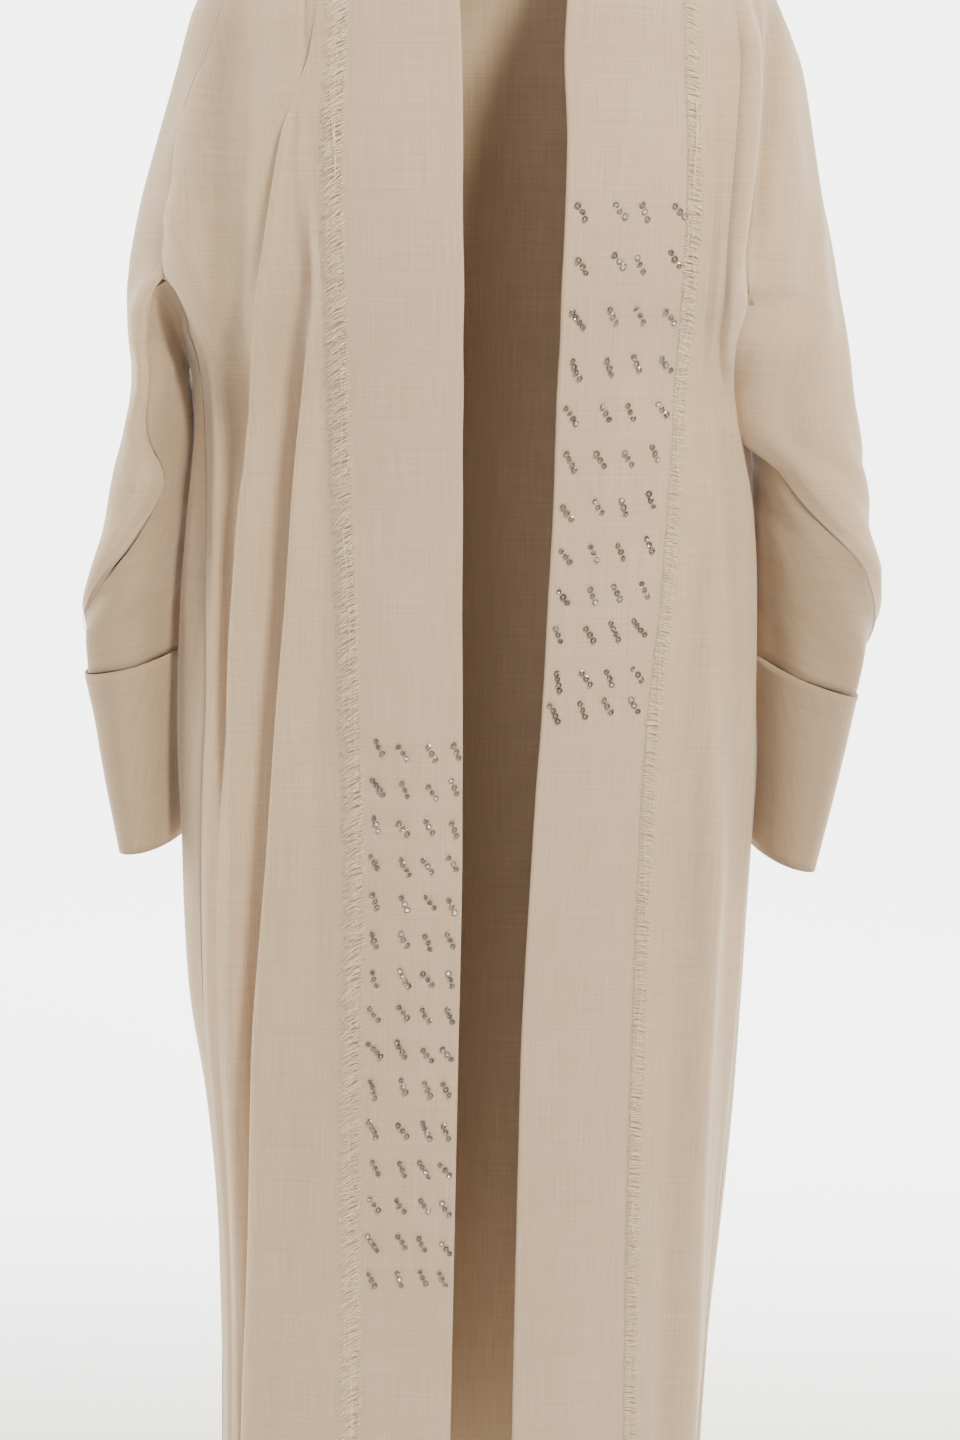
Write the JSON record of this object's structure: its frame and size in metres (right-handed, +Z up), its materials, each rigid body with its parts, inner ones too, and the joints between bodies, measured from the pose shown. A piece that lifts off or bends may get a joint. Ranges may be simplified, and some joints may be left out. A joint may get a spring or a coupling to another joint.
{
  "type": "abaya cloak",
  "caption": "Open-front full-length cloak with wide sleeves gathered into turned-back cuffs and a frayed border band down each front edge.",
  "frame": {"origin": "midway between the two neck points of the shoulders, where the wearer holds the cloak up", "axes": "+Z up, -Y towards the open front, +X towards the wearer's left"},
  "size_m": [0.6193, 0.2473, 1.4535],
  "materials": {
    "linen": "matte slubby linen weave with a faint sheen",
    "band": "matte slubby linen weave with a faint sheen",
    "fringe": "matte frayed threads"
  },
  "bodies": {
    "root": {"right_front": "linen", "left_front": "linen", "back": "linen", "right_cuff": "linen", "left_cuff": "linen", "right_band": "band", "left_band": "band", "right_fringe": "fringe", "left_fringe": "fringe"}
  },
  "joints": []
}
